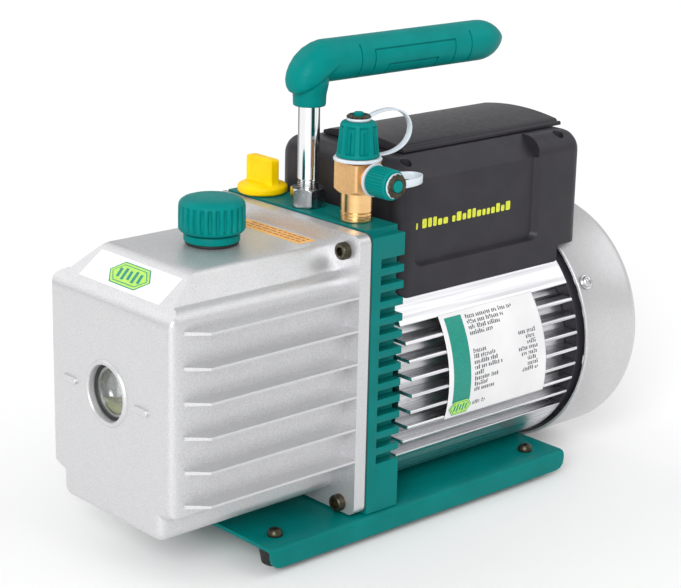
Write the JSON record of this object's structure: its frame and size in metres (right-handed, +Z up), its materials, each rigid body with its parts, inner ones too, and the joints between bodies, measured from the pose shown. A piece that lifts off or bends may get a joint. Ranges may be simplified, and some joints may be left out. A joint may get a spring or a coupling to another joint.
{
  "type": "rotary vane vacuum pump",
  "caption": "Oil-sealed rotary vane vacuum pump with finned oil case, motor, electrical box and carrying handle on a channel base with rubber feet.",
  "frame": {"origin": "floor under the rubber feet, at the middle of the length and width", "axes": "+X along the motor shaft from the oil case to the fan cover, +Y across, away from the side with the small port, +Z up"},
  "size_m": [0.3414, 0.146, 0.2653],
  "materials": {
    "teal_paint": "semi-gloss powder coat",
    "teal_plastic": "moulded, semi-gloss",
    "cast_silver": "fine silver paint on die casting",
    "painted_silver": "fine silver paint on drawn steel",
    "extruded_aluminium": "bright extruded",
    "charcoal_plastic": "satin moulded",
    "black_rubber": "matte",
    "black_oxide": "black oxide",
    "chrome": "polished",
    "zinc": "zinc plated",
    "brass": "machined",
    "sight_glass": "clear",
    "yellow_plastic": "moulded",
    "strap_plastic": "translucent moulded",
    "cast_iron": "machined casting",
    "machined_steel": "ground",
    "lamination_steel": "stacked laminations",
    "copper_winding": "enamelled wire",
    "vane_composite": "fibre composite",
    "gasket_paper": "pressed fibre"
  },
  "bodies": {
    "pump": {"base_plate": "teal_paint", "capacitor": "charcoal_plastic", "case_gasket": "gasket_paper", "case_screw_1": "black_oxide", "case_screw_2": "black_oxide", "case_screw_3": "black_oxide", "case_screw_4": "black_oxide", "cover_screw_1": "zinc", "cover_screw_2": "zinc", "cover_screw_3": "zinc", "fan_cover": "painted_silver", "foot_screw_1": "black_oxide", "foot_screw_2": "black_oxide", "foot_screw_3": "black_oxide", "foot_screw_4": "black_oxide", "front_bearing": "zinc", "handle_grip": "teal_plastic", "handle_nut": "chrome", "handle_post": "chrome", "inlet_fitting": "brass", "motor_body": "extruded_aluminium", "oil_case": "cast_silver", "power_inlet": "charcoal_plastic", "pump_cylinder": "cast_iron", "pump_end_plate": "cast_iron", "pump_housing": "teal_paint", "rear_bearing": "zinc", "rear_end_bell": "charcoal_plastic", "rubber_foot_1": "black_rubber", "rubber_foot_2": "black_rubber", "rubber_foot_3": "black_rubber", "rubber_foot_4": "black_rubber", "shaft_seal": "black_rubber", "sight_glass": "sight_glass", "sight_glass_ring": "cast_silver", "sight_glass_seal": "black_rubber", "stator_core": "lamination_steel", "stator_winding": "copper_winding", "switch_frame": "charcoal_plastic", "terminal_box": "charcoal_plastic", "terminal_box_lid": "charcoal_plastic"},
    "shaft_line": {"motor_shaft": "machined_steel", "motor_rotor": "cast_iron", "cooling_fan": "charcoal_plastic", "shaft_coupling": "machined_steel", "pump_rotor": "machined_steel", "vane_front": "vane_composite", "vane_rear": "vane_composite"},
    "oil_cap_ring": {"oil_cap_seal": "black_rubber"},
    "oil_cap": {"oil_cap": "teal_plastic"},
    "ballast_stem": {"ballast_stem": "brass"},
    "ballast_knob": {"ballast_knob": "yellow_plastic"},
    "large_cap_strap": {"large_cap_strap": "strap_plastic"},
    "large_cap": {"large_cap": "teal_plastic", "large_cap_clip": "zinc"},
    "small_cap_strap": {"small_cap_strap": "strap_plastic"},
    "small_cap": {"small_cap": "teal_plastic", "small_cap_clip": "zinc"},
    "switch_rocker": {"switch_rocker": "black_rubber"},
    "exhaust_reed": {"exhaust_reed": "machined_steel"}
  },
  "joints": [
    {"name": "shaft_spin", "type": "hinge", "parent": "pump", "child": "shaft_line", "pos_m": [0, 0, 0.0799], "axis": [1, 0, 0], "continuous": true},
    {"name": "oil_cap_lift", "type": "slide", "parent": "pump", "child": "oil_cap_ring", "axis": [0, 0, 1], "range_m": [0, 0.00901]},
    {"name": "oil_cap_turn", "type": "hinge", "parent": "oil_cap_ring", "child": "oil_cap", "pos_m": [-0.1017, 0, 0.165], "axis": [0, 0, 1], "range_deg": [0, 1080]},
    {"name": "ballast_lift", "type": "slide", "parent": "pump", "child": "ballast_stem", "axis": [0, 0, 1], "range_m": [0, 0.0015]},
    {"name": "ballast_turn", "type": "hinge", "parent": "ballast_stem", "child": "ballast_knob", "pos_m": [-0.0333, 0.0408, 0.1745], "axis": [0, 0, 1], "range_deg": [0, 180]},
    {"name": "large_cap_lift", "type": "slide", "parent": "pump", "child": "large_cap_strap", "axis": [0, 0, 1], "range_m": [0, 0.00707], "deforming": ["large_cap_strap"]},
    {"name": "large_cap_turn", "type": "hinge", "parent": "large_cap_strap", "child": "large_cap", "pos_m": [-0.0333, -0.0375, 0.2096], "axis": [0, 0, 1], "range_deg": [0, 1800]},
    {"name": "small_cap_lift", "type": "slide", "parent": "pump", "child": "small_cap_strap", "axis": [0, -1, 0], "range_m": [0, 0.00636], "deforming": ["small_cap_strap"]},
    {"name": "small_cap_turn", "type": "hinge", "parent": "small_cap_strap", "child": "small_cap", "pos_m": [-0.0333, -0.0519, 0.1988], "axis": [0, -1, 0], "range_deg": [0, 1800]},
    {"name": "switch_rock", "type": "hinge", "parent": "pump", "child": "switch_rocker", "pos_m": [0.1302, 0.024, 0.18], "axis": [0, 1, 0], "range_deg": [0, 22.9]},
    {"name": "reed_flex", "type": "hinge", "parent": "pump", "child": "exhaust_reed", "pos_m": [-0.0662, 0, 0.1072], "axis": [0, 1, 0], "range_deg": [0, 6], "stiffness_Nm_per_rad": 0.01}
  ],
  "couplings": [
    {"joint": "oil_cap_lift", "follows": "oil_cap_turn", "m_per_rad": 0.00047746},
    {"joint": "ballast_lift", "follows": "ballast_turn", "m_per_rad": 0.00047746},
    {"joint": "large_cap_lift", "follows": "large_cap_turn", "m_per_rad": 0.00022457},
    {"joint": "small_cap_lift", "follows": "small_cap_turn", "m_per_rad": 0.00020213}
  ]
}
